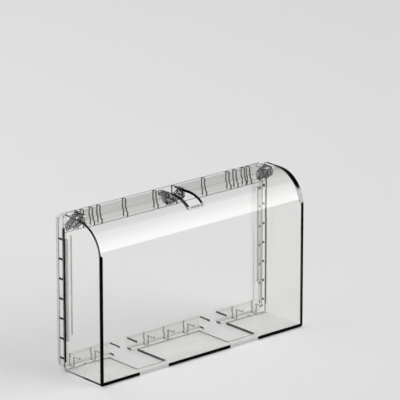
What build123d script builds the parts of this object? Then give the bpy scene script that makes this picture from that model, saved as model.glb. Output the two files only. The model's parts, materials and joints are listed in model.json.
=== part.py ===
from build123d import *
import os

# Weatherproof cover for a double wall socket. A clear base frame is stuck or
# screwed to the wall round the socket plates, and a clear hood hangs from three
# pin hinges along the frame's top rail and flips up.
#
# Millimetres. X runs along the wall, +Y points into the wall and +Z is up. The
# origin is at the underside, in the middle of the width and of the depth. Depths
# are measured forwards from the wall, so a depth d lies at y = wall_y - d.

# Overall sizes
cover_width = 200.0
hood_height = 122.2
reach = 50.9

# Base frame
frame_thick = 5.0
frame_wall = 1.8
frame_corner = 4.0
frame_margin = 1.4
side_rail = 9.7
bottom_rail = 9.7
top_rail = 13.4
opening_corner = 1.5
rib_thick = 1.4
side_rib_pitch = 15.4
cable_rib_offset = 24.8
middle_ribs = (9.2, 38.8)
end_ribs = (15.8, 21.0, 29.5, 36.7)
sill_reach = 7.0
bridge_tall = 2.4
bridge_thick = 1.8

# Cable ways through the frame's bottom rail and the hood's floor
cable_pitch = 89.0
frame_cable_gap = 17.0
hood_cable_gap = 28.0
cable_setback = 9.2
notch_round = 1.5

# Hood shell
hood_wall = 2.0
hood_bend = 25.4
floor_round = 2.0
edge_round = 0.5
rear_round = 1.7
hood_clearance = 0.3
pip_radius = 1.3
pip_inset = 20.0

# Hinges
hinge_inset = 7.2
hinge_depth = 15.5
hinge_drop = 5.7
eye_radius = 3.2
pin_radius = 1.2
pin_clearance = 0.05
head_radius = 2.2
head_thick = 1.3
head_chamfer = 0.5
side_play = 0.3
knuckle_wide = 4.0
ear_thick = 2.0
centre_ear_wide = 6.8
barrel_wide = 2.9
lug_thick = 2.2
slot_past_axis = 5.2
centre_slot_length = 33.0
sweep_clearance = 0.4
swing_limit = 100.0

# Screw bosses, for a wall that the tape does not hold on
screw_hole_radius = 2.1
boss_wall = 1.0
low_screw_inset = 5.5
low_screw_height = 7.5
top_screw_inset = 25.2

# Adhesive tape
tape_thick = 3.2
tape_inset = 0.6
tape_gap = 0.4
tape_hole_margin = 0.4

# Places worked out from the sizes
wall_y = reach / 2
half_width = cover_width / 2
frame_low = frame_margin
frame_high = hood_height - frame_margin
frame_back = tape_thick
frame_front = tape_thick + frame_thick
opening_half = half_width - side_rail
opening_low = frame_low + bottom_rail
opening_high = frame_high - top_rail
hood_back = frame_front + hood_clearance
hinge_z = hood_height - hinge_drop
bore_radius = pin_radius + pin_clearance

# The hood's rounded rear top edge swings round the hinge line in this radius,
# and the top rail steps back to let it pass.
rear_arc_y = hinge_depth - hood_back - rear_round
rear_arc_z = hinge_drop - rear_round
sweep_radius = (rear_arc_y**2 + rear_arc_z**2) ** 0.5 + rear_round + sweep_clearance
step_front = hinge_depth - sweep_radius
step_low = hinge_z - (sweep_radius**2 - (hinge_depth - frame_front) ** 2) ** 0.5


def block(x_low, x_high, depth_low, depth_high, z_low, z_high):
    """A box between two distances along X, in depth from the wall, and up."""
    size = Box(x_high - x_low, depth_high - depth_low, z_high - z_low)
    middle_y = wall_y - (depth_low + depth_high) / 2
    return Pos((x_low + x_high) / 2, middle_y, (z_low + z_high) / 2) * size


def wall_plane(depth):
    """The plane parallel to the wall at a depth, seen from the front."""
    return Plane(origin=(0, wall_y - depth, 0), x_dir=(1, 0, 0), z_dir=(0, -1, 0))


def slab(width, low, high, corner, depth_low, depth_high):
    """A rounded rectangle parallel to the wall, pulled between two depths."""
    outline = Pos(0, (low + high) / 2) * RectangleRounded(width, high - low, corner)
    return extrude(wall_plane(depth_low) * outline, amount=depth_high - depth_low)


def side_section(outline, x_low, x_high):
    """An outline drawn in (depth, height), pulled along X between two places."""
    section = Plane(origin=(x_low, wall_y, 0), x_dir=(0, -1, 0), z_dir=(-1, 0, 0))
    return extrude(section * outline, amount=x_low - x_high)


def rod(radius, x_low, x_high):
    """A round bar on the hinge line."""
    return side_section(Pos(hinge_depth, hinge_z) * Circle(radius), x_low, x_high)


def mirrored_pairs(distances):
    """Each distance on both sides of the middle, and 0 only once."""
    return sorted({side * distance for distance in distances for side in (-1, 1)})


cable_middles = mirrored_pairs([cable_pitch / 2])
end_hinges = mirrored_pairs([half_width - hinge_inset])
screw_places = [(x, low_screw_height) for x in mirrored_pairs([half_width - low_screw_inset])]
top_screws = mirrored_pairs([half_width - top_screw_inset])
screw_places += [(x, (step_low + frame_high) / 2) for x in top_screws]


# Base frame
def channel():
    """The hollow behind the frame's face, shallower behind the stepped top."""
    inner = frame_wall
    low = frame_low + inner
    corner = frame_corner - inner
    full = slab(cover_width - 2 * inner, low, frame_high - inner, corner, 0, frame_front - inner)
    core = block(
        -opening_half - inner, opening_half + inner, 0, frame_front,
        opening_low - inner, opening_high + inner,
    )
    step = block(-half_width, half_width, step_front - inner, frame_front, step_low - inner, frame_high)
    return full - core - step


def ribs():
    """Cross ribs that stiffen the rails."""
    half = rib_thick / 2
    cable_x = cable_pitch / 2
    low = [0, cable_x - cable_rib_offset, cable_x + cable_rib_offset, opening_half - half]
    high = [*middle_ribs, *(half_width - inset for inset in end_ribs)]
    solids = []
    for x in mirrored_pairs(low):
        solids.append(block(x - half, x + half, 0, frame_front, frame_low, opening_low))
    for x in mirrored_pairs(high):
        solids.append(block(x - half, x + half, 0, frame_front, opening_high, frame_high))
    count = int((opening_high - opening_low) // side_rib_pitch) + 1
    for index in range(count):
        z = opening_low + side_rib_pitch * index
        for side in (-1, 1):
            edges = sorted((side * opening_half, side * half_width))
            solids.append(block(*edges, 0, frame_front, z - half, z + half))
    return solids


def screw_posts(radius, depth_low, depth_high):
    """A round post at each screw place."""
    outline = Sketch() + [Pos(x, z) * Circle(radius) for x, z in screw_places]
    return extrude(wall_plane(depth_low) * outline, amount=depth_high - depth_low)


def ear_outline():
    """An ear seen from the side: an eye on a bracket that slopes up at 45 degrees."""
    offset = eye_radius / 2**0.5
    root = step_front - frame_wall / 2
    arm = make_face(Polyline(
        (hinge_depth - offset, hinge_z + offset),
        (hinge_depth + offset, hinge_z - offset),
        (frame_front - frame_wall / 2, opening_high),
        (root, hinge_z - hinge_depth + root + 2 * offset),
        close=True,
    ))
    return arm + Pos(hinge_depth, hinge_z) * Circle(eye_radius)


def base_frame():
    body = slab(cover_width, frame_low, frame_high, frame_corner, frame_back, frame_front)
    hollow = channel()
    for rib in ribs():
        hollow -= rib
    hollow -= screw_posts(screw_hole_radius + boss_wall, 0, frame_front)
    body -= hollow
    body -= block(-half_width, half_width, step_front, frame_front, step_low, frame_high)

    # The sill under the opening, which sheds water in front of the rail
    body += block(
        -opening_half, opening_half, frame_front - frame_wall, frame_front + sill_reach,
        opening_low - frame_wall, opening_low,
    )

    # The opening, and the strip that joins the rail's three lengths behind it
    body -= slab(2 * opening_half, opening_low, opening_high, opening_corner, 0, frame_front)
    for middle in cable_middles:
        half = frame_cable_gap / 2
        body -= block(
            middle - half, middle + half, 0, frame_front + sill_reach, frame_low, opening_low
        )
    body += block(
        -opening_half, opening_half, frame_back, frame_back + bridge_thick,
        opening_low, opening_low + bridge_tall,
    )

    # Ears for the three hinges
    ear = ear_outline()
    for middle in end_hinges:
        for side in (-1, 1):
            near = knuckle_wide / 2 + side_play
            edges = sorted((middle + side * near, middle + side * (near + ear_thick)))
            body += side_section(ear, *edges)
    body += side_section(ear, -centre_ear_wide / 2, centre_ear_wide / 2)
    body -= rod(bore_radius, -half_width, half_width)
    body -= screw_posts(screw_hole_radius, 0, frame_front)
    return body


# Hood
def hood_profile(inset, back):
    """The hood seen from the side, drawn in (depth, height) and set inwards."""
    front = reach - inset
    low = inset
    high = hood_height - inset
    outline = Pos((back + front) / 2, (low + high) / 2) * Rectangle(front - back, high - low)
    front_corners = outline.vertices().group_by(Axis.X)[-1].sort_by(Axis.Y)
    return fillet(front_corners[-1], hood_bend - inset)


def knuckle_outline():
    """A knuckle seen from the side: an eye under the top, and its arm."""
    arm_high = hood_height - hood_wall / 2
    arm = Pos(hinge_depth, (hinge_z + arm_high) / 2) * Rectangle(2 * eye_radius, arm_high - hinge_z)
    return arm + Pos(hinge_depth, hinge_z) * Circle(eye_radius)


def lug_outline():
    """A lug seen from the side: a knuckle with a web back to the hood's rear edge."""
    web_high = hood_height - rear_round
    middle = Pos((hood_back + hinge_depth) / 2, (hinge_z + web_high) / 2)
    return knuckle_outline() + middle * Rectangle(hinge_depth - hood_back, web_high - hinge_z)


def top_slot(x_low, x_high, length, corner):
    """A slot through the hood's top, open at the rear edge."""
    overrun = hood_wall
    outline = Pos((x_low + x_high) / 2, wall_y - hood_back + overrun - (length + overrun) / 2)
    outline *= Rectangle(x_high - x_low, length + overrun)
    outline = fillet(outline.vertices().group_by(Axis.Y)[0], corner)
    low = hinge_z - eye_radius
    return extrude(Pos(0, 0, low) * outline, amount=hood_height + hood_wall - low)


def on_outer_rim(edge):
    """True for a side face's edges, apart from its rear ones and the rounded floor's."""
    middle = edge.center()
    return middle.Y < wall_y - hood_back - hood_wall and middle.Z > floor_round + edge_round


def flip_hood():
    outer = hood_profile(0, hood_back)
    rear_top = outer.vertices().group_by(Axis.X)[0].sort_by(Axis.Y)[-1]
    outer = fillet(rear_top, rear_round)
    shell = side_section(outer, -half_width, half_width)
    floor_sides = shell.edges().filter_by(Axis.Y).group_by(Axis.Z)[0]
    shell = fillet(floor_sides, floor_round)
    front = shell.faces().sort_by(Axis.Y)[0].edges().group_by(Axis.Z)
    rims = front[0] + front[1]
    for side in (0, -1):
        rims += shell.faces().sort_by(Axis.X)[side].edges().filter_by(on_outer_rim)
    shell = fillet(rims, edge_round)
    shell -= side_section(
        hood_profile(hood_wall, frame_back), -half_width + hood_wall, half_width - hood_wall
    )

    # Cable notches in the floor, open towards the wall
    for middle in cable_middles:
        length = reach - cable_setback - hood_back
        outline = Pos(middle, wall_y - hood_back + hood_wall - (length + hood_wall) / 2)
        outline *= Rectangle(hood_cable_gap, length + hood_wall)
        outline = fillet(outline.vertices().group_by(Axis.Y)[0], notch_round)
        shell -= extrude(outline, amount=hood_wall)

    # Knuckles of the end hinges, and the slots that the frame's ears pass
    end_length = hinge_depth + slot_past_axis - hood_back
    for middle in end_hinges:
        for side in (-1, 1):
            near = middle + side * knuckle_wide / 2
            far = near + side * (ear_thick + 2 * side_play)
            shell -= top_slot(*sorted((near, far)), end_length, side_play)
        half = knuckle_wide / 2
        shell += side_section(knuckle_outline(), middle - half, middle + half)

    # The middle hinge: a wide slot with a lug and a barrel at each edge
    slot_half = centre_ear_wide / 2 + side_play + barrel_wide
    shell -= top_slot(-slot_half, slot_half, centre_slot_length, notch_round)
    for side in (-1, 1):
        lug = sorted((side * slot_half, side * (slot_half + lug_thick)))
        shell += side_section(lug_outline(), *lug)
        barrel = sorted((side * (slot_half - barrel_wide), side * slot_half))
        shell += rod(eye_radius, *barrel)
    shell -= rod(bore_radius, -half_width + hood_wall, half_width - hood_wall)

    # Rounded pips on the floor that meet the frame when the hood is shut
    for x in mirrored_pairs([0, half_width - pip_inset]):
        pip_y = wall_y - hood_back - hood_clearance - pip_radius
        shell += Pos(x, pip_y, hood_wall) * Sphere(pip_radius)
    return shell


# Hinge pins
def headed_pin(length):
    """A turned pin along X: the shank ends at x = 0, under a chamfered head."""
    outline = Polyline(
        (-length, 0),
        (-length, pin_radius),
        (0, pin_radius),
        (0, head_radius),
        (head_thick - head_chamfer, head_radius),
        (head_thick, head_radius - head_chamfer),
        (head_thick, 0),
        close=True,
    )
    return revolve(make_face(outline), Axis.X)


def on_hinge_line(solid, x):
    return Pos(x, wall_y - hinge_depth, hinge_z) * solid


def left_pin():
    """A pin put in from the middle of the cover towards its left end."""
    half = knuckle_wide / 2 + side_play + ear_thick
    return on_hinge_line(headed_pin(2 * half + side_play), half + hinge_inset - half_width)


def centre_pin():
    """A pin with a head at each end, held by the hood's two lugs."""
    half = centre_ear_wide / 2 + side_play + barrel_wide + lug_thick
    right_half = on_hinge_line(headed_pin(half), half)
    return right_half + mirror(right_half, about=Plane.YZ)


# Adhesive tape
def tape(x_low, x_high, z_low, z_high):
    """One length of tape behind the rails, punched round the screw holes."""
    strip = block(x_low, x_high, 0, tape_thick, z_low, z_high)
    border = slab(
        cover_width - 2 * tape_inset, frame_low + tape_inset, frame_high - tape_inset,
        frame_corner - tape_inset, 0, tape_thick,
    )
    strip &= border
    return strip - screw_posts(screw_hole_radius + tape_hole_margin, 0, tape_thick)


def tapes():
    """The six lengths of tape, by name."""
    edge = half_width - tape_inset
    inner = opening_half + tape_inset
    low = frame_low + tape_inset
    high = frame_high - tape_inset
    rail_top = opening_low - tape_inset
    shoulder = inner - tape_gap
    cable_near = (cable_pitch - frame_cable_gap) / 2 - tape_inset
    cable_far = (cable_pitch + frame_cable_gap) / 2 + tape_inset
    return {
        "tape_left": tape(-edge, -inner, low, high),
        "tape_right": tape(inner, edge, low, high),
        "tape_top": tape(-shoulder, shoulder, opening_high + tape_inset, high),
        "tape_bottom_left": tape(-shoulder, -cable_far, low, rail_top),
        "tape_bottom_centre": tape(-cable_near, cable_near, low, rail_top),
        "tape_bottom_right": tape(cable_far, shoulder, low, rail_top),
    }


pieces = {
    "base_frame": base_frame(),
    "flip_hood": flip_hood(),
    "hinge_pin_left": left_pin(),
    "hinge_pin_centre": centre_pin(),
    "hinge_pin_right": mirror(left_pin(), about=Plane.YZ),
    **tapes(),
}

os.makedirs("parts", exist_ok=True)
for name, solid in pieces.items():
    export_step(solid, f"parts/{name}.step")

print(f"hinge line: y {wall_y - hinge_depth:.2f}, z {hinge_z:.2f}, opens 0 to {swing_limit:.0f} degrees")
print(f"rear edge sweeps a radius of {sweep_radius - sweep_clearance:.2f}")
print(f"stepped face at depth {step_front:.2f} from z {step_low:.2f} up")
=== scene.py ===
# %% [markdown]
# A clear splash cover for a double wall socket, seen as it stands on a table.
# The packed model already holds every moulding, pin and strip of tape at its real
# size, so this lesson is about finish: how clear plastic, turned steel and foam
# tape are shaded and lit so that thin clear walls read as solid things, and where
# painted shade and painted light on the plastic's edges and hinges stand in for
# light that the clear walls bend.

import json
import math
from types import SimpleNamespace

import bpy
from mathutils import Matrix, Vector

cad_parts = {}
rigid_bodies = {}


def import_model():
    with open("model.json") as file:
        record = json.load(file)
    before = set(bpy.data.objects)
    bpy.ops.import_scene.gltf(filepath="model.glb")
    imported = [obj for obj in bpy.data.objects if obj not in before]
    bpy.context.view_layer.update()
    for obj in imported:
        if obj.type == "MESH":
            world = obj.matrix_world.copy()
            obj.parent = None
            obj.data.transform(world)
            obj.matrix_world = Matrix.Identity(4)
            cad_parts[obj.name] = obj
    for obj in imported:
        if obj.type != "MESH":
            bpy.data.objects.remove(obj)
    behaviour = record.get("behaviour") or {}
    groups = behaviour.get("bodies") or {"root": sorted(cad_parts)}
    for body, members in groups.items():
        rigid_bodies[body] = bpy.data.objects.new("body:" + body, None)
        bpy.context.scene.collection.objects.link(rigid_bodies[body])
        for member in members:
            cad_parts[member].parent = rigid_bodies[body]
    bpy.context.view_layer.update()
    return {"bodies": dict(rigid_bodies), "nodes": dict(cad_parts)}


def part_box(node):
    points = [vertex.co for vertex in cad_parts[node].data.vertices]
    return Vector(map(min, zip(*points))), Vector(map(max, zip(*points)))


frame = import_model()
for name, body in frame["bodies"].items():
    print(name, "carries", len(body.children), "pieces")

# %% [markdown]
# Every finish below is placed in millimetres from the model's own origin: X runs
# along the wall, Y into it and Z up. The cover's outer faces are read from the
# packed nodes, so that a line along an edge stays on that edge.

# %% Outer faces of the cover
MM = 1000
hood_low, hood_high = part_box("flip_hood")
frame_low, frame_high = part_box("base_frame")
tape_low, tape_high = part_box("tape_top")
SIDE = hood_high.x * MM
FRAME_TOP = frame_high.z * MM
FRAME_BOTTOM = frame_low.z * MM
reach = (tape_high.y - hood_low.y) * MM
print(f"hood {2 * SIDE:.1f} wide and {hood_high.z * MM:.1f} tall")
print(f"cover {reach:.1f} deep, of which tape {(tape_high.y - tape_low.y) * MM:.1f}")

# %% [markdown]
# The photograph was taken with a long lens from the cover's front left and a
# little above it. A long lens keeps parallel edges nearly parallel, so the camera
# stands far away. It looks past the cover, up and to the right, which puts the
# cover low in the picture without any lens shift.

# %% Camera
VIEW_AZIMUTH = math.radians(40.77)
VIEW_ELEVATION = math.radians(18.88)
VIEW_DISTANCE = 2.569
SENSOR = 36.0
LENS = 309.4
FAR_CLIP = 50.0
TARGET = Vector((0.0, 0.00045, 0.060))
AIM_RIGHT = 0.01389
AIM_UP = 0.05352

towards_camera = Vector((
    -math.sin(VIEW_AZIMUTH) * math.cos(VIEW_ELEVATION),
    -math.cos(VIEW_AZIMUTH) * math.cos(VIEW_ELEVATION),
    math.sin(VIEW_ELEVATION),
))
picture_right = Vector((0, 0, 1)).cross(towards_camera).normalized()
picture_up = towards_camera.cross(picture_right)
camera_data = bpy.data.cameras.new("camera")
camera_data.lens = LENS
camera_data.sensor_width = SENSOR
camera_data.clip_end = FAR_CLIP
camera = bpy.data.objects.new("camera", camera_data)
bpy.context.scene.collection.objects.link(camera)
camera.location = TARGET + towards_camera * VIEW_DISTANCE
aim = TARGET + picture_right * AIM_RIGHT + picture_up * AIM_UP
camera.rotation_euler = (aim - camera.location).to_track_quat("-Z", "Y").to_euler()
bpy.context.scene.camera = camera
print("camera at", [round(value, 3) for value in camera.location])

# %% [markdown]
# Shader nodes read better as sums than as boxes and wires. This small class wraps
# one socket, and Python's operators on it add the Math nodes. A comparison gives
# 1 where it is true and 0 elsewhere, so masks multiply for "and" and add for "or".
# Vectors have a call of their own, because a Math node makes them one grey number.


# %% Shader maths
class Signal:
    """One output socket of a node tree, with arithmetic."""

    def __init__(self, tree, socket):
        self.tree = tree
        self.socket = socket

    def node(self, kind, settings=None, inputs=None, out=0):
        """Any other node: its type, its settings first, then values or links."""
        made = self.tree.nodes.new(kind)
        for name, value in (settings or {}).items():
            setattr(made, name, value)
        for name, value in (inputs or {}).items():
            plug(self.tree, made.inputs[name], value)
        return Signal(self.tree, made.outputs[out])

    def maths(self, operation, *values):
        return self.node("ShaderNodeMath", {"operation": operation}, dict(enumerate(values)))

    def vector_maths(self, operation, *others, out=0):
        values = dict(enumerate((self, *others)))
        return self.node("ShaderNodeVectorMath", {"operation": operation}, values, out)

    def __add__(self, other):
        return self.maths("ADD", self, other)

    __radd__ = __add__

    def __mul__(self, other):
        return self.maths("MULTIPLY", self, other)

    __rmul__ = __mul__

    def __sub__(self, other):
        return self.maths("SUBTRACT", self, other)

    def __rsub__(self, other):
        return self.maths("SUBTRACT", other, self)

    def __gt__(self, other):
        return self.maths("GREATER_THAN", self, other)

    def __lt__(self, other):
        return self.maths("LESS_THAN", self, other)

    def __abs__(self):
        return self.maths("ABSOLUTE", self)

    def capped(self):
        """This, but never more than 1."""
        return self.maths("MINIMUM", self, 1.0)

    def back_and_forth(self, reach):
        """Climbs from 0 to reach and falls back to 0, over and over."""
        return self.maths("PINGPONG", self, reach)

    def ramp(self, low, high, to_low=0.0, to_high=1.0):
        """Moves smoothly from to_low to to_high as this goes from low to high."""
        smooth = {"interpolation_type": "SMOOTHSTEP"}
        ends = {"From Min": low, "From Max": high, "To Min": to_low, "To Max": to_high}
        return self.node("ShaderNodeMapRange", smooth, {"Value": self, **ends})

    def split(self):
        """A vector's three numbers."""
        parts = self.node("ShaderNodeSeparateXYZ", None, {"Vector": self})
        return [Signal(self.tree, output) for output in parts.socket.node.outputs]


def plug(tree, socket, value):
    """Sets a socket to a value, or links it to a signal."""
    if isinstance(value, Signal):
        tree.links.new(value.socket, socket)
    else:
        socket.default_value = value


print("a signal can", ", ".join(name for name in vars(Signal) if not name.startswith("_")))

# %% [markdown]
# A finish starts from an empty material and a first signal, the place on the piece.
# That is measured on the piece itself and not in the room, so a line or a speck
# stays where it is when the hood turns. Which way the surface faces is measured
# the same way, which tells a wall's broad face from its narrow cut edge.

# %% Places on a piece
FACES_SIDEWAYS = 0.7


def new_material(name):
    """A new material, its output node and the place on the piece."""
    material = bpy.data.materials.new(name)
    material.use_nodes = True
    tree = material.node_tree
    tree.nodes.clear()
    output = tree.nodes.new("ShaderNodeOutputMaterial")
    place = tree.nodes.new("ShaderNodeTexCoord")
    return material, output, Signal(tree, place.outputs["Object"])


def spot_on(place):
    """A spot of the surface: where it lies, in millimetres, and how it faces."""
    x, y, z = [part * MM for part in place.split()]
    face_x, _, face_z = place.node("ShaderNodeTexCoord", out="Normal").split()
    side = abs(face_x) > FACES_SIDEWAYS
    return SimpleNamespace(place=place, x=x, y=y, z=z, across=abs(x), side=side, up=face_z)


def between(value, low, high):
    """1 where a signal lies between two values, and 0 elsewhere."""
    return (value > low) * (value < high)


def any_of(masks):
    """1 where one of some masks is 1, if no two of them overlap."""
    first, *others = masks
    return sum(others, first)


lean = math.degrees(math.acos(FACES_SIDEWAYS))
print(f"a face counts as sideways when it leans less than {lean:.0f} degrees from X")

# %% [markdown]
# Clear moulded plastic bends light, so its walls are shaded as real glass of the
# plastic's own index. Lamps have to reach the table through it, or it would cast
# the shadow of a black box, so shadow rays meet a transparent shader instead. The
# plastic also swallows a little light on the way, which a volume shader does.
#
# That alone gives a clean but empty box. A real moulding pipes light along its
# walls and lets it out elsewhere, so wall ends show as near black lines, and a few
# as pale ones. Glass alone could draw them in one studio, but with other lamps
# they would move. Here they are painted shade and painted light: masks by place on
# the moulding, which mix in plain matt shaders, dark and pale. Those are Diffuse
# shaders, because the export takes a Principled one for the whole mix, and then
# the clear plastic comes out frosted.

# %% Clear plastic
PLASTIC_INDEX = 1.49
CLEAR_TINT = (1.0, 0.998, 0.99, 1)
SHADOW_TINT = (0.985, 0.985, 0.985, 1)
SWALLOW_TINT = (0.25, 0.3, 0.25, 1)
# Painted shade and painted light: plain matt colours put on the plastic's edges where bent and
# piped light makes them look dark or pale.
PAINTED_SHADE = (0.002, 0.003, 0.003, 1)
PAINTED_LIGHT = (0.62, 0.62, 0.62, 1)


def with_painted_rim(shader, mask, colour):
    """The same shader, with a plain matt colour of painted shade or painted light in its place
    where the mask is 1.
    """
    matt = mask.node("ShaderNodeBsdfDiffuse", None, {"Color": colour, "Roughness": 0.0})
    return mask.node("ShaderNodeMixShader", None, {0: mask, 1: shader, 2: matt})


def clear_plastic(name, density, index, rims):
    """Clear plastic whose rims of painted shade and painted light lie where the rims function says.
    """
    material, output, place = new_material(name)
    bending = {"Color": CLEAR_TINT, "Roughness": 0.0, "IOR": index}
    glass = place.node("ShaderNodeBsdfGlass", None, bending)
    clear = place.node("ShaderNodeBsdfTransparent", None, {"Color": SHADOW_TINT})
    to_lamp = place.node("ShaderNodeLightPath", out="Is Shadow Ray")
    surface = place.node("ShaderNodeMixShader", None, {0: to_lamp, 1: glass, 2: clear})
    dark, pale = rims(spot_on(place))
    surface = with_painted_rim(surface, pale, PAINTED_LIGHT)
    surface = with_painted_rim(surface, dark.capped(), PAINTED_SHADE)
    swallowing = {"Color": SWALLOW_TINT, "Density": density}
    volume = place.node("ShaderNodeVolumeAbsorption", None, swallowing)
    plug(place.tree, output.inputs["Surface"], surface)
    plug(place.tree, output.inputs["Volume"], volume)
    print(name, "has", len(place.tree.nodes), "nodes")
    return material


piped = math.degrees(math.asin(1 / PLASTIC_INDEX))
print(f"a wall pipes on the light that meets it more than {piped:.0f} degrees aslant")

# %% [markdown]
# Each hinge is a tight cluster of eyes, barrels and a pin. In clear plastic that is
# a knot of small lenses, and the eye sees black and white specks more than shapes.
# The glass gives some of them. A fine noise with a hard edge paints the rest,
# specks of painted shade where it is high and painted glints where it is low, in a
# short cylinder round the hinge line. Undersides get a little painted shade.
# Modelled bubbles could do the same, but they would be many tiny shapes that the
# real moulding doesn't have.

# %% Specks at the hinges
HINGE_Y, HINGE_Z = 9.95, 116.5
SPECKS_DROP = 2.0
SPECKS_RADIUS = math.sqrt(46.0)
SPECKS_REAR = 16.6
MIDDLE_HINGE_HALF = 9.5
END_HINGE = (86.5, 97.4)
SPECKS_SCALE = 700.0
SPECKS_EDGE = (0.48, 0.52)
SPECKS_STRENGTH = 0.85
UNDERSIDE_SHADE = (-0.3, 0.7, 0.1, 0.0)


def painted_hinge_specks(at):
    """Painted shade in specks round the three hinges, and painted glints between them."""
    depth = at.y - HINGE_Y
    height = at.z - (HINGE_Z - SPECKS_DROP)
    near = depth * depth + height * height < SPECKS_RADIUS**2
    along = (at.across < MIDDLE_HINGE_HALF) + between(at.across, *END_HINGE)
    cluster = near * (at.y < SPECKS_REAR) * along
    grains = {"Vector": at.place, "Scale": SPECKS_SCALE, "Detail": 1.0}
    specks = at.place.node("ShaderNodeTexNoise", None, grains).ramp(*SPECKS_EDGE)
    # Painted shade: darker undersides and dark specks; the pale specks below are painted glints.
    dark = at.up.ramp(*UNDERSIDE_SHADE) + specks * SPECKS_STRENGTH
    return cluster * dark, cluster * (1 - specks) * SPECKS_STRENGTH


print(f"specks within {SPECKS_RADIUS:.1f} mm of a line at z {HINGE_Z - SPECKS_DROP:.1f}")

# %% [markdown]
# The hood's thin wall rises at the front and rolls back into the top. Its upright
# side edges are strong dark lines in the photograph, drawn here as painted shade.
# Along the roll they go on, thinner on the left. On the right they vanish for a
# stretch, where the photograph shows a gleam of the soft box instead, drawn here as
# a painted highlight. Lines drawn over the picture would be the quick way, but they
# don't turn and hide with the wall as a mask on it does.

# %% Side edges of the hood's front and roll
ROLL_LOW = 99.7
FLOOR_ROUND = 2.5
HOOD_REAR = 16.5
LEFT_LINE, RIGHT_LINE = 2.7, 1.8
LEFT_ROLL_LINE, RIGHT_ROLL_LINE = 1.1, 3.6
LEFT_ROLL_STRENGTH = 0.85
LEFT_FADE = (-2.0, 10.0, 1.0, 0.8)
RIGHT_FADE = (-12.0, 4.0, 1.0, 0.3)
GLOW_FADE = (108.5, 112.5, 1.0, 0.0)
LEFT_GLOW = 0.3
GLEAM_STRENGTH = 0.9


def edge_lines(at):
    """The painted shade of the side edges, and the painted highlight that breaks the right one."""
    left, right = at.x < 0, at.x > 0
    roll = at.z > ROLL_LOW
    upright = (at.x < LEFT_LINE - SIDE) + (at.x > SIDE - RIGHT_LINE)
    right_edge = at.x > SIDE - RIGHT_ROLL_LINE
    rolled = (at.x < LEFT_ROLL_LINE - SIDE) * LEFT_ROLL_STRENGTH + right_edge
    line = (upright * (1 - roll) + rolled * roll) * (1 - at.side)
    # Painted highlight: where the soft box's band crosses the roll, the painted shade fades and the
    # right edge turns pale.
    glow = roll * at.z.ramp(*GLOW_FADE) * (left * LEFT_GLOW + right)
    fade = at.y.ramp(*RIGHT_FADE) * right + at.y.ramp(*LEFT_FADE) * left
    fade = fade * (at.y < HOOD_REAR) + (at.y > HOOD_REAR)
    line = line * (1 - glow) * fade * (at.z > FLOOR_ROUND)
    return line, right_edge * (1 - at.side) * glow * GLEAM_STRENGTH


print(f"edge lines {LEFT_LINE} mm wide on the left and {RIGHT_LINE} mm on the right")

# %% [markdown]
# The hood's side walls end at the back in a flat face, where piped light leaves, so
# a dark line runs up each rear edge. In the photograph the left one also has a soft
# grey band in front of it. Thin dark strips could be modelled there, but the real
# wall has none. Masks on the wall's outer face paint both as shade, and they are
# kept off its inner face, where they would show twice.

# %% Rear edges of the hood's sides
OUTER_FACE = SIDE - 0.1
LEFT_REAR_LINE, RIGHT_REAR_LINE = 14.4, 16.0
REAR_LINE_SPAN = (8.0, 112.0)
BAND_FRONT = 10.6
BAND_SPAN = (25.0, 104.5)
BAND_GREYS = (0.28, 0.55)


def rear_lines(at):
    """Painted shade on the rear edges of both side walls, and on the left one's grey band."""
    left, right = at.x < -OUTER_FACE, at.x > OUTER_FACE
    line = left * (at.y > LEFT_REAR_LINE) + right * (at.y > RIGHT_REAR_LINE)
    band = left * between(at.y, BAND_FRONT, LEFT_REAR_LINE) * between(at.z, *BAND_SPAN)
    band = band * at.y.ramp(BAND_FRONT, LEFT_REAR_LINE, *BAND_GREYS)
    return at.side * (line * between(at.z, *REAR_LINE_SPAN) + band)


print(f"grey band {LEFT_REAR_LINE - BAND_FRONT:.1f} mm wide on the left side")

# %% [markdown]
# The floor's front edge is the boldest line of all, and it is painted shade. The
# photograph breaks it twice, and there it is pale, with painted light. Those breaks
# fit the photograph's view and stay put in others, which one mask can't help. The
# cable notches' own cut faces get painted shade, dark at the sides and softer at
# the end. The floor's rear edge shows no line, so it gets the pale shader as painted
# light, because glass alone would make it black.

# %% Lines of the hood's floor
FLOOR_TOP = 2.05
TOE_FRONT, TOE_TOP = -24.8, 2.8
TOE_BREAKS = ((-63.0, -35.0), (26.0, 54.0))
TOE_BREAK_STRENGTH = 0.8
NOTCH_SIDES = (30.0, 59.0)
NOTCH_END_WIDE = (30.6, 58.4)
NOTCH_END_DEEP = (-16.4, -16.1)
NOTCH_END_STRENGTH = 0.5
REAR_EDGE, REAR_EDGE_TOP = 16.4, 2.2
REAR_EDGE_STRENGTH = 0.9


def toe_line(at):
    """Painted shade on the floor's front edge, and painted light on the two breaks in it."""
    toe = (at.y < TOE_FRONT) * (at.z < TOE_TOP)
    breaks = any_of(between(at.x, *span) for span in TOE_BREAKS)
    return toe * (1 - breaks), toe * breaks * TOE_BREAK_STRENGTH


def notch_lines(at):
    """Painted shade on the cut faces of the two cable notches."""
    sides = at.side * between(at.across, *NOTCH_SIDES)
    ends = between(at.y, *NOTCH_END_DEEP) * between(at.across, *NOTCH_END_WIDE)
    ends = (1 - at.side) * ends * NOTCH_END_STRENGTH
    return (at.z < FLOOR_TOP) * (sides + ends)


def rear_edge(at):
    """Painted light on the floor's rear edge, which stays pale."""
    return (at.y > REAR_EDGE) * (at.z < REAR_EDGE_TOP) * REAR_EDGE_STRENGTH


print("front edge pale between x", " and ".join(f"{low} to {high}" for low, high in TOE_BREAKS))

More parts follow.
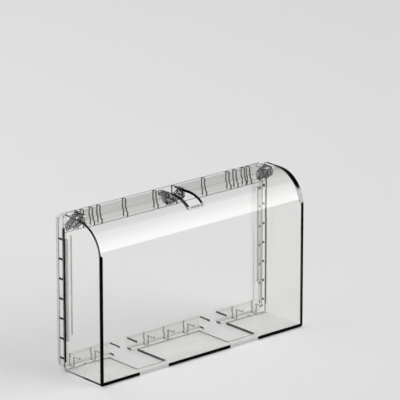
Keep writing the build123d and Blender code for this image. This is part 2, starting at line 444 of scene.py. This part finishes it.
# %% [markdown]
# The slot over the middle hinge lets the frame's ear pass as the hood turns. Its
# two cut faces curve down with the roll and show as two dark strokes of painted
# shade. They are as thin as the wall, so a strip of the top beside each one gets
# painted shade too. The slot's front face looks up and gets soft painted light.

# %% Strokes of the middle slot
SLOT_LOW = 104.0
SLOT_FACES = (6.4, 6.8)
SLOT_FACES_REAR = 8.0
SLOT_STRIPS = ((-8.9, -7.5), (6.5, 7.0))
SLOT_STRIPS_SPAN = (-16.2, 3.0)
SLOT_STRIPS_STRENGTH = 0.9
SLOT_FRONT_LOW, SLOT_FRONT_HALF = 100.0, 7.6
SLOT_FRONT = (-17.0, -15.9)
SLOT_FRONT_STRENGTH = 0.35


def slot_strokes(at):
    """Painted shade on the slot's side faces and the strips of the top beside them."""
    faces = at.side * between(at.across, *SLOT_FACES) * (at.y < SLOT_FACES_REAR)
    strips = any_of(between(at.x, *span) for span in SLOT_STRIPS)
    strips = (1 - at.side) * between(at.y, *SLOT_STRIPS_SPAN) * strips
    return (at.z > SLOT_LOW) * (faces + strips * SLOT_STRIPS_STRENGTH)


def slot_front(at):
    """Painted light on the slot's front face."""
    face = (at.z > SLOT_FRONT_LOW) * between(at.y, *SLOT_FRONT) * (at.across < SLOT_FRONT_HALF)
    return (1 - at.side) * face * SLOT_FRONT_STRENGTH


print(f"slot strokes {SLOT_STRIPS_SPAN[1] - SLOT_STRIPS_SPAN[0]:.1f} mm long")

# %% [markdown]
# The hood's painted shade and painted light are the sum of its lines, and its
# finish is clear plastic with the real index. The hood swallows a little more light
# than the frame does, which gives its broad front a trace of grey.

# %% The hood's plastic
HOOD_DENSITY = 6.0


def hood_painted_rims(at):
    """All painted shade and painted light on the hood's rims."""
    specks, sparkle = painted_hinge_specks(at)
    edges, gleam = edge_lines(at)
    toe, toe_breaks = toe_line(at)
    dark = edges + rear_lines(at) + toe + notch_lines(at) + slot_strokes(at) + specks
    return dark, toe_breaks + sparkle + rear_edge(at) + gleam + slot_front(at)


hood_plastic = clear_plastic("clear_hood_plastic", HOOD_DENSITY, PLASTIC_INDEX, hood_painted_rims)

# %% [markdown]
# The base frame is a channel with cross ribs. From the front each rib is a thin
# wall seen end on, so it draws a stroke, which is painted shade here. The rungs of
# the side rails show as short dashes of painted shade on the left outer face, and
# on the right only as small spots, because the rest is lost in the rail. Rungs lie
# at even steps, so one signal that climbs and falls finds them all, while the ribs
# of the level rails are listed one by one.

# %% Ribs and rungs of the frame
FRONT_SKIN, BACK_SKIN = 17.6, 21.9
TOP_RAIL, BOTTOM_RAIL = 107.5, 11.0
RIB_HALF = 0.69
TOP_RIBS = (9.2, 38.8, 63.3, 70.5, 79.0, 84.2)
TOP_RIB_STRENGTH = 0.9
BOTTOM_RIBS = (0.0, 19.7, 69.3, 89.6)
BOTTOM_RIB_STRENGTH = 0.65
RUNG_START, RUNG_STEP, RUNG_HALF = 10.4, 15.4, 0.85
RUNG_SPAN = (8.0, 108.0)
RUNG_STRENGTH = 0.95
RAIL_FACE = SIDE - 0.2
FACE_SPOTS = (19.8, 21.9)
SKIN_SPOTS = (92.0, 93.6)


def rib_strokes(at, middles):
    """Painted shade strokes at each distance from the middle, on both sides of it."""
    return any_of(between(at.across, mid - RIB_HALF, mid + RIB_HALF) for mid in middles)


def rung_dashes(at):
    """Painted shade dashes on the left rail's outer face, and spots on the right rail."""
    rung = (at.z - RUNG_START).back_and_forth(RUNG_STEP / 2) < RUNG_HALF
    spots = (at.x > RAIL_FACE) * between(at.y, *FACE_SPOTS)
    spots = spots + (at.y < FRONT_SKIN) * between(at.x, *SKIN_SPOTS)
    return rung * ((at.x < -RAIL_FACE) + spots) * between(at.z, *RUNG_SPAN)


def rib_lines(at):
    """The painted shade strokes and dashes of all rails."""
    top = rib_strokes(at, TOP_RIBS) * (at.z > TOP_RAIL) * TOP_RIB_STRENGTH
    bottom = rib_strokes(at, BOTTOM_RIBS) * (at.z < BOTTOM_RAIL) * BOTTOM_RIB_STRENGTH
    return top + bottom + rung_dashes(at) * RUNG_STRENGTH


print(2 * len(TOP_RIBS), "strokes on the top rail,", 2 * len(BOTTOM_RIBS) - 1, "on the bottom rail")

# %% [markdown]
# The frame's outline shows as two fine lines of painted shade, one on the front
# skin and one on the back. A fainter line of painted shade follows the opening.
# Where the bottom rail is cut for the cables, each end shows a dark bar of painted
# shade at its top and one at its foot, which are the channel's two walls seen end on.

# %% Outline of the frame
OUTLINE_WIDE = 0.4
OUTLINE_STRENGTH = 0.8
FOOT_SHARE = 0.4
OPENING_SIDES = (90.2, 91.8)
OPENING_SPAN = (27.0, 104.5)
OPENING_TOP = (107.3, 108.0)
OPENING_STRENGTH = 0.5
CUT_ENDS = (35.5, 53.5)
CUT_FOOT = 3.0
CUT_TOP = (9.3, 11.2)
CUT_STRENGTH = 0.95


def outline(at):
    """Fine lines of painted shade round the outside and along the opening."""
    skins = (at.y < FRONT_SKIN) + (at.y > BACK_SKIN)
    edge = (at.across > SIDE - OUTLINE_WIDE) + (at.z > FRAME_TOP - OUTLINE_WIDE)
    edge = edge + (at.z < FRAME_BOTTOM + OUTLINE_WIDE) * FOOT_SHARE
    opening = between(at.across, *OPENING_SIDES) * between(at.z, *OPENING_SPAN)
    opening = (opening + between(at.z, *OPENING_TOP)) * (at.y < FRONT_SKIN)
    return edge * skins * OUTLINE_STRENGTH + opening * OPENING_STRENGTH


def cut_ends(at):
    """Painted shade bars at the foot and the top of the bottom rail's cut ends."""
    bars = (at.z < CUT_FOOT) + between(at.z, *CUT_TOP)
    return at.side * between(at.across, *CUT_ENDS) * bars * CUT_STRENGTH


print(f"outline {OUTLINE_WIDE} mm wide round z {FRAME_BOTTOM:.1f} to {FRAME_TOP:.1f}")

# %% [markdown]
# With the plastic's real index, thin ribs behind the hood's wall turn into grey
# noise at this picture's size. The frame is therefore shaded with an index only
# just above that of air. Its walls stay clear, and the painted shade lines above
# carry its form.

# %% The frame's plastic
FRAME_INDEX = 1.03
FRAME_DENSITY = 4.0


def frame_painted_rims(at):
    """All painted shade and painted light on the frame's rims."""
    specks, sparkle = painted_hinge_specks(at)
    return rib_lines(at) + outline(at) + cut_ends(at) + specks, sparkle


frame_plastic = clear_plastic("clear_frame_plastic", FRAME_DENSITY, FRAME_INDEX, frame_painted_rims)

# %% [markdown]
# The hinge pins are turned from steel rod. A lathe leaves fine rings round the
# axis, too small to see as grooves, but they blur the shine a little in bands. A
# wave texture along the pins' own axis drives the roughness for that.

# %% Turned steel
RINGS_SCALE = 900.0
STEEL_ROUGHNESS = (0.18, 0.3)


def turned_steel():
    material, output, place = new_material("turned_steel")
    lathe = {"bands_direction": "X"}
    rings = place.node("ShaderNodeTexWave", lathe, {"Vector": place, "Scale": RINGS_SCALE})
    metal = place.node("ShaderNodeBsdfPrincipled", None, {
        "Base Color": (0.3, 0.3, 0.31, 1),
        "Metallic": 1.0,
        "Roughness": rings.ramp(0.0, 1.0, *STEEL_ROUGHNESS),
    })
    plug(place.tree, output.inputs["Surface"], metal)
    return material


pin_steel = turned_steel()
print(pin_steel.name, "has", len(pin_steel.node_tree.nodes), "nodes")

# %% [markdown]
# The tape behind the rails is a translucent foam, so it hardly shows through the
# frame. Only at the side edges, where the eye looks into its width, does it read
# as grey. A mix of a grey body and a transparent shader gives both, and fine noise
# in the roughness stands for the foam's cells.

# %% Foam tape
TAPE_EDGE = 99.0
TAPE_BODY, TAPE_EDGE_BODY = 0.06, 0.35
CELLS_SCALE = 1400.0
CELLS_RANGE = (0.3, 0.7)
FOAM_ROUGHNESS = (0.45, 0.65)


def foam_tape():
    material, output, place = new_material("foam_tape")
    cells = {"Vector": place, "Scale": CELLS_SCALE, "Detail": 3.0}
    cells = place.node("ShaderNodeTexNoise", None, cells)
    body = place.node("ShaderNodeBsdfPrincipled", None, {
        "Base Color": (0.5, 0.51, 0.52, 1),
        "Roughness": cells.ramp(*CELLS_RANGE, *FOAM_ROUGHNESS),
    })
    clear = place.node("ShaderNodeBsdfTransparent", None, {"Color": (1, 1, 1, 1)})
    across = abs(place.split()[0] * MM)
    share = (across > TAPE_EDGE) * TAPE_EDGE_BODY + TAPE_BODY
    mixed = place.node("ShaderNodeMixShader", None, {0: share, 1: clear, 2: body})
    plug(place.tree, output.inputs["Surface"], mixed)
    return material


tape_foam = foam_tape()
print(tape_foam.name, "has", len(tape_foam.node_tree.nodes), "nodes")

# %% [markdown]
# The packed pieces keep their meshes and places. Only their material slots change:
# each piece takes the finish that its name starts with, so the three pins and the
# six lengths of tape need no list of their own.

# %% Finishes on the pieces
finishes = {
    "flip_hood": hood_plastic,
    "base_frame": frame_plastic,
    "hinge_pin_": pin_steel,
    "tape_": tape_foam,
}
for name, node in frame["nodes"].items():
    for start, material in finishes.items():
        if name.startswith(start):
            node.data.materials.clear()
            node.data.materials.append(material)
            print(name, "is", material.name)

# %% [markdown]
# The cover stands on a plain pale floor, so large that it fills the picture and
# other views meet its far edge only near the horizon. It lies a hair below the
# cover, or the two would share one plane and flicker. A trace of grain in the
# roughness keeps it from looking like a flat card.

# %% Floor
FLOOR_RADIUS = 12.0
FLOOR_CORNERS = 96
FLOOR_DROP = 0.0002
FLOOR_PAINT = (0.79, 0.79, 0.8, 1)
GRAIN_SCALE = 60.0
GRAIN_RANGE = (0.3, 0.7)
FLOOR_ROUGHNESS = (0.85, 0.95)
FLOOR_SHINE = 0.2


def pale_surface(name, colour):
    material, output, place = new_material(name)
    grain = {"Vector": place, "Scale": GRAIN_SCALE, "Detail": 2.0}
    grain = place.node("ShaderNodeTexNoise", None, grain)
    paint = place.node("ShaderNodeBsdfPrincipled", None, {
        "Base Color": colour,
        "Roughness": grain.ramp(*GRAIN_RANGE, *FLOOR_ROUGHNESS),
        "Specular IOR Level": FLOOR_SHINE,
    })
    plug(place.tree, output.inputs["Surface"], paint)
    return material


bpy.ops.mesh.primitive_circle_add(
    vertices=FLOOR_CORNERS, radius=FLOOR_RADIUS, fill_type="NGON"
)
floor = bpy.context.object
floor.name = "floor"
floor.location.z = -FLOOR_DROP
floor.data.materials.append(pale_surface("pale_floor", FLOOR_PAINT))
print(f"floor {2 * FLOOR_RADIUS:.0f} m across")

# %% [markdown]
# One large soft lamp hangs high up, behind and to the left of the cover. A large
# one gives the faint, wide shadow of the photograph, where a small one would draw
# every rib on the floor. It doesn't show through the plastic: its light already
# passes there as shadow rays, and would be counted twice.

# %% Soft lamp
LAMP_AT = Vector((-0.6, 0.8, 3.0))
LAMP_AIM = Vector((0, 0, 0.06))
LAMP_SIDE = 3.0
LAMP_WATTS = 72

lamp = bpy.data.lights.new("top_panel", "AREA")
lamp.shape = "RECTANGLE"
lamp.size = lamp.size_y = LAMP_SIDE
lamp.energy = LAMP_WATTS
panel = bpy.data.objects.new("top_panel", lamp)
bpy.context.scene.collection.objects.link(panel)
panel.location = LAMP_AT
panel.rotation_euler = (LAMP_AIM - LAMP_AT).to_track_quat("-Z", "Y").to_euler()
panel.visible_transmission = False
print(f"lamp {LAMP_SIDE:.0f} m square, {LAMP_WATTS} W, {LAMP_AT.z:.0f} m up")

# %% [markdown]
# Clear things are drawn by what they mirror and bend into view. The room above the
# horizon is dark, so rounded rims show it as dark lines, and a pale band at the
# horizon carries on the floor. One tall soft box stands at the front right,
# brightest low down, and the rolled top of the hood mirrors it as a white band
# with a sharp lower edge. All of it is one world shader, because light from far
# away needs no objects, and none of them can get in another view's way.

# %% Dark room with one soft box
BOX_TOWARDS = Vector((0.62, -0.78, 0.0)).normalized()
BOX_SIDES = [math.cos(math.radians(angle)) for angle in (38, 22)]
BOX_FOOT = (0.0, 0.1)
BOX_FADE = (0.1, 0.95, 1.0, 0.2)
HORIZON_FADE = (0.06, 0.12, 1.0, 0.0)
BOX_STRENGTH = 3.4
HORIZON_STRENGTH = 0.6
ROOM_STRENGTH = 0.15

world = bpy.data.worlds.new("studio")
world.use_nodes = True
bpy.context.scene.world = world
room = world.node_tree
room.nodes.clear()
direction = Signal(room, room.nodes.new("ShaderNodeTexCoord").outputs["Generated"])
height = direction.split()[2]
compass = direction.vector_maths("MULTIPLY", (1, 1, 0)).vector_maths("NORMALIZE")
towards_box = compass.vector_maths("DOT_PRODUCT", BOX_TOWARDS, out="Value")
box = towards_box.ramp(*BOX_SIDES) * height.ramp(*BOX_FOOT) * height.ramp(*BOX_FADE)
horizon = height.ramp(*HORIZON_FADE)
brightness = box * BOX_STRENGTH + horizon * HORIZON_STRENGTH + ROOM_STRENGTH
print("room drawn with", len(room.nodes), "nodes")

# %% [markdown]
# Light on the floor could reach the room twice, once straight, as if there were no
# plastic, and once through it. A ray that has been scattered and then goes through
# the plastic therefore finds the room dark, and the floor inside the cover is as
# bright as the floor beside it. The picture keeps plain colours, with no film
# curve, so that pale things stay pale.

# %% Light counted once
SCATTERED_ONCE = 0.5

scattered = direction.node("ShaderNodeLightPath", out="Diffuse Depth") > SCATTERED_ONCE
through = direction.node("ShaderNodeLightPath", out="Is Transmission Ray")
counted = {"Color": (1, 1, 1, 1), "Strength": brightness * (1 - scattered * through)}
light = direction.node("ShaderNodeBackground", None, counted)
plug(room, room.nodes.new("ShaderNodeOutputWorld").inputs["Surface"], light)
bpy.context.scene.view_settings.view_transform = "Standard"
print("room finished with", len(room.nodes), "nodes")

# %% [markdown]
